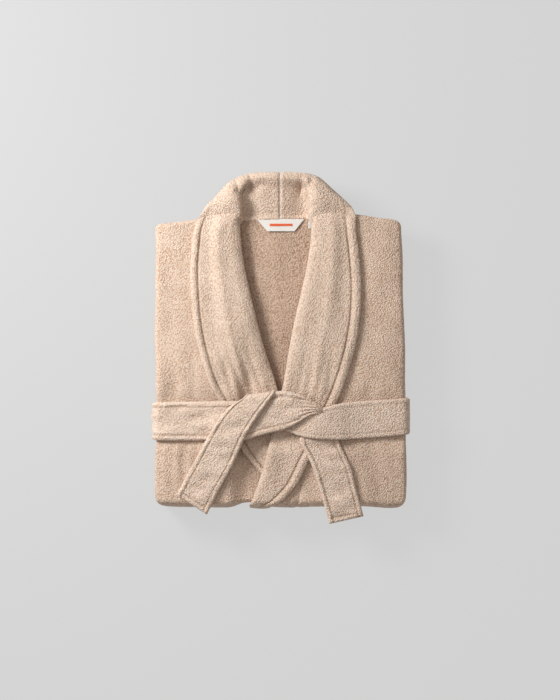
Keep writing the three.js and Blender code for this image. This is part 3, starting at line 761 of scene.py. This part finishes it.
strand_right = [
    [(2, -78, 4.2), (2, -132, 4.2)], [(60, -77, 4.2), (60, -131, 4.2)],
    [(120, -76, 4.2), (120, -130, 4.2)], [(176, -75.5, 4.3), (176, -129.5, 4.3)],
    [(side_x - 3.5, -75, 6.5), (side_x - 3.5, -129, 6.5)],
    [(side_x, -74.5, 16), (side_x, -128.5, 16)], [(side_x, -74, 32), (side_x, -128, 32)],
    [(side_x - 0.5, -74, 48), (side_x - 0.5, -128.5, 48)],
    [(side_x - 5, -74, over_cloth - 2), (side_x - 5, -129, over_cloth - 2)],
    [(172, -75, over_cloth + 0.3), (174, -130, over_cloth + 0.3)],
    [(138, -77, over_cloth + 1.2), (140, -133, over_cloth + 0.7)],
    [(106, -79.5, over_cloth + 5), (108, -135, over_cloth + 4)],
    [(86, -82, over_lapel + 2), (84, -135.5, over_lapel + 3)],
    [(66, -87, over_lapel + 5), (56, -134.5, over_lapel + 6)],
    [(47, -89, over_lapel + 3.5), (33, -131.5, over_lapel + 4.5)],
    [(28, -84, over_lapel + 0.5), (6, -122, over_lapel - 0.5)],
    [(8, -75, over_lapel - 0.5), (-20, -108, over_lapel - 2)],
    [(-6, -66, over_lapel + 4), (-44, -84, over_lapel)],
    [(-8, -64, over_lapel + 10), (-51, -72, over_lapel + 8)],
    [(-10.5, -68, over_lapel + 15), (-60, -76, over_lapel + 12)],
    [(-18, -78, over_lapel + 16), (-73, -83, over_lapel + 11.5)],
    [(-32, -97, over_lapel + 14.5), (-87, -97, over_lapel + 10)],
    [(-43, -114, over_lapel + 12), (-98, -112, over_lapel + 7)],
    [(-54, -133, over_lapel + 9), (-108, -129, over_lapel + 3)],
    [(-64, -156, over_lapel + 3), (-118, -146, over_cloth + 7.5)],
    [(-75, -180, over_cloth + 6.5), (-127, -163, over_cloth + 5.5)],
    [(-94, -214, over_cloth + 5), (-142, -190, over_cloth + 5)],
    [(-111, -248, over_cloth + 4.8), (-156, -218, over_cloth + 4.8)],
]


def belt_strand(name, stations, nodes, thicker):
    stations = np.array(stations, float) * MM - (0, shift, 0)
    doubled = np.concatenate([[2 * stations[0] - stations[1]], stations, [2 * stations[-1] - stations[-2]]])
    edges = through_stations(list(doubled), 40)
    run = np.concatenate([[0], np.cumsum(np.linalg.norm(np.diff(edges.mean(1), axis=0), axis=1))])
    length = float(run[-1])
    ends = steps((0, 0.8 * MM), (4 * MM, 4 * MM), (under_run, 1.6 * MM), (length - 4 * MM, 0.6 * MM),
                 (length, 1))
    edge_a = np.stack([np.interp(ends, run, edges[:, 0, k]) for k in range(3)], -1)
    edge_b = np.stack([np.interp(ends, run, edges[:, 1, k]) for k in range(3)], -1)
    share = steps((0, 0.012), (0.08, 0.022), (0.24, 0.035), (0.76, 0.022), (0.92, 0.012), (1, 1))
    grid = edge_a[:, None] + (edge_b - edge_a)[:, None] * share[None, :, None]
    normal = np.cross(np.gradient(grid, axis=1), np.gradient(grid, axis=0))
    normal /= np.linalg.norm(normal, axis=-1, keepdims=True) + 1e-12
    width = np.linalg.norm(edge_b - edge_a, axis=-1)
    across = share[None, :] * belt_width
    to_edge = np.minimum(across, belt_width - across)
    bunch = np.clip(belt_width / np.maximum(width, 8 * MM) - 1, 0, 3)[:, None]
    to_end = (length - ends)[:, None]
    half = belt_cloth / 2 * rim(to_edge, 3.4 * MM) * rim(to_end, 3.4 * MM)
    half = half * rim(ends + 0.5 * MM, 3 * MM)[:, None]
    half = half * (1 + bunch * thicker * np.sin(np.pi * share)[None, :] ** 0.7)
    inside = np.clip((to_edge - 4 * MM) / (2 * MM), 0, 1)
    stitches = 0.85 + 0.35 * np.sin(ends / (4.4 * MM) * 2 * np.pi)[:, None]
    groove = 1.5 * MM * stitches * hump(to_edge - stitch_in, 1.2 * MM)
    end_groove = 1.4 * MM * hump(to_end - stitch_in, 1.2 * MM) * inside
    groove = np.maximum(groove, end_groove) * np.clip(1.3 - bunch, 0, 1)
    # How much the stitched grooves are painted darker: flattened loops and painted shade.
    groove_darkening = np.clip(groove / (1.7 * MM), 0, 1) * 0.8
    welt = 0.5 * MM * hump(np.minimum(to_edge, to_end) - 4 * MM, 2.2 * MM)
    soft = np.tanh(waves(grid * (1, 1, 0.2), 22 * MM, 91)) * 1.3 * MM * inside
    crease = 1.2 * MM * np.sin(across / (9 * MM) * 2 * np.pi) * np.clip(bunch, 0, 1) * inside
    upper = grid + normal * (half - groove + welt + soft + crease)[..., None]
    lower = grid - normal * (half - 0.5 * groove)[..., None]
    strand = closed_sheet(name, pile(upper, 0.28 * MM, 80), pile(lower, 0.28 * MM, 80), groove_darkening)
    strand.data.materials.append(terry_belt)
    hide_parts(*nodes)
    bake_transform(strand)


belt_strand("belt_strand_left", strand_left, ["belt_knot", "belt_tail_right"],
            0.35)
belt_strand("belt_strand_right", strand_right, ["belt_wrap", "belt_tail_left"],
            0.25)

# ---------------------------------------------------------------- neck label and size tag
# A white satin-woven trapezium is sewn in at the neck seam, with a plain woven bar in place of any
# mark. Beside it a small tag is half hidden by the right roll edge.


def woven(name, colour, thread=0.5, depth=0.25):
    material = plain_material(name, colour, 0.55)
    nodes, links = material.node_tree.nodes, material.node_tree.links
    shader = nodes["Principled BSDF"]
    where = nodes.new("ShaderNodeTexCoord").outputs["Object"]
    wave = nodes.new("ShaderNodeTexWave")
    wave.inputs["Scale"].default_value = 1 / (thread * MM) / 6.28 * 2
    wave.inputs["Distortion"].default_value = 0.6
    links.new(where, wave.inputs["Vector"])
    bump = nodes.new("ShaderNodeBump")
    bump.inputs["Strength"].default_value = depth
    bump.inputs["Distance"].default_value = 0.2 * MM
    links.new(wave.outputs["Fac"], bump.inputs["Height"])
    links.new(bump.outputs["Normal"], shader.inputs["Normal"])
    return material


label_white = woven("label_white", (0.74, 0.70, 0.66))


def flat_tab(name, corners, lift, thick, material, body, curl):
    """A thin woven piece between four corners, top edge first, bent a little upwards at its free end."""
    (ax, ay), (bx, by), (cx, cy), (dx, dy) = np.array(corners) * MM
    s = steps((0, 0.03), (1, 1))[None, :]
    t = steps((0, 0.06), (1, 1))[:, None]
    x = (ax + (bx - ax) * s) * (1 - t) + (dx + (cx - dx) * s) * t
    y = (ay + (by - ay) * s) * (1 - t) + (dy + (cy - dy) * s) * t
    z = lift * MM + curl * MM * t**2 + 0.35 * MM * np.sin(s * 5.1 + 0.6) * t
    grid = np.stack([x, y, z + 0 * x], -1)
    up = grid + np.array([0, 0, thick * MM / 2])
    piece = closed_sheet(name, up, grid - np.array([0, 0, thick * MM / 2]))
    piece.data.materials.append(material)
    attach(piece, body)
    return piece


low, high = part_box("brand_label")
top_y, end_y, half_top = high.y / MM + 0.1, low.y / MM, (high.x - low.x) / 2 / MM
half_end = half_top * 0.57
label_z = high.z / MM
label_corners = [(-half_top, top_y), (half_top, top_y), (half_end, end_y), (-half_end, end_y)]
label = flat_tab("neck_label", label_corners, label_z, 0.8, label_white, "label", 1.2)
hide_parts("brand_label")
thread_red = woven("thread_red", (0.72, 0.12, 0.05))
bar_corners = [(-17, top_y - 7), (17, top_y - 7), (17, top_y - 10.5), (-17, top_y - 10.5)]
bar = flat_tab("neck_label_bar", bar_corners, label_z + 0.75, 0.5, thread_red, "label", 0.5)
low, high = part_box("size_tag")
top_y, end_y = high.y / MM, low.y / MM
tag_left, tag_right = low.x / MM + 3.9, low.x / MM + 14
tag_top = (low.x / MM + 4.5, low.x / MM + 8.3)
tag_corners = [(tag_top[0], top_y), (tag_top[1], top_y), (tag_right, end_y), (tag_left, end_y)]
tag = flat_tab("neck_size_tag", tag_corners, high.z / MM + 0.7, 0.6, label_white, "tag", 0.1)
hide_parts("size_tag")

# ---------------------------------------------------------------- tapes
# The hanger loop under the collar and the two belt loops at the side seams are narrow woven cotton
# tape with a selvedge along each edge, sewn on at their ends.
tape = woven("tape", (0.60, 0.45, 0.35), 0.7, 0.5)
tape_cloth = 1.2 * MM
hanger_width = 6 * MM


def tape_strip(name, node, middle, across, facing, body):
    """Tape along a line of points, with the direction of its width and of its face at each point."""
    low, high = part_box(node)
    width = hanger_width if body == "hanger" else high.x - low.x
    share = steps((-0.5, 0.03), (-0.4, 0.1), (0.4, 0.03), (0.5, 1))
    from_edge = (0.5 - np.abs(share)) * width
    selvedge = 0.12 * MM * hump(from_edge - 0.8 * MM, 0.4 * MM)
    half = tape_cloth / 2 * rim(from_edge, 0.6 * MM) + selvedge
    grid = middle[:, None] + across[:, None] * (share * width)[None, :, None]
    offset = facing[:, None] * half[None, :, None]
    strip = closed_sheet(name, grid + offset, grid - offset)
    strip.data.materials.append(tape)
    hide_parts(node)
    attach(strip, body)


low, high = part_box("hanger_loop")
corner, centre_x, y = 9 * MM, (low.x + high.x) / 2, (low.y + high.y) / 2
reach, foot = (high.x - low.x) / 2 - hanger_width / 2 - corner, low.z + hanger_width / 2 + corner
turns = np.radians(np.linspace(180, 270, 13))
left_bend = [(-reach + corner * np.cos(t), foot + corner * np.sin(t)) for t in turns]
profile = [(-reach - corner, z) for z in np.linspace(high.z, foot, 8)[:-1]] + left_bend
profile += [(x, foot - corner) for x in np.linspace(-reach, 0, 7)[1:]]
profile += [(-x, z) for x, z in profile[-2::-1]]
profile = np.array(profile)
bow = 0.25 * MM * np.sin(profile[:, 0] / (9 * MM))
middle = np.stack([centre_x + profile[:, 0], y + bow, profile[:, 1]], -1)
ahead = np.gradient(middle, axis=0)
ahead /= np.linalg.norm(ahead, axis=-1, keepdims=True)
facing = np.tile([0.0, 1.0, 0.0], (len(middle), 1))
tape_strip("hanger_tape", "hanger_loop", middle, np.cross(ahead, facing), facing, "hanger")

for word in ("left", "right"):
    node = "belt_loop_" + word
    low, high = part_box(node)
    line = np.linspace(low.y, high.y, 26)
    middle_z = base_z + 2.9 * pitch + 1 * MM
    middle = drawn_in(np.stack([0 * line + (low.x + high.x) / 2, line, 0 * line + middle_z], -1))
    across = np.tile([1.0, 0.0, 0.0], (len(middle), 1))
    ahead = np.gradient(middle, axis=0)
    facing = np.cross(across, ahead)
    facing /= np.linalg.norm(facing, axis=-1, keepdims=True)
    tape_strip("waist_tape_" + word, node, middle, across, facing, "robe")
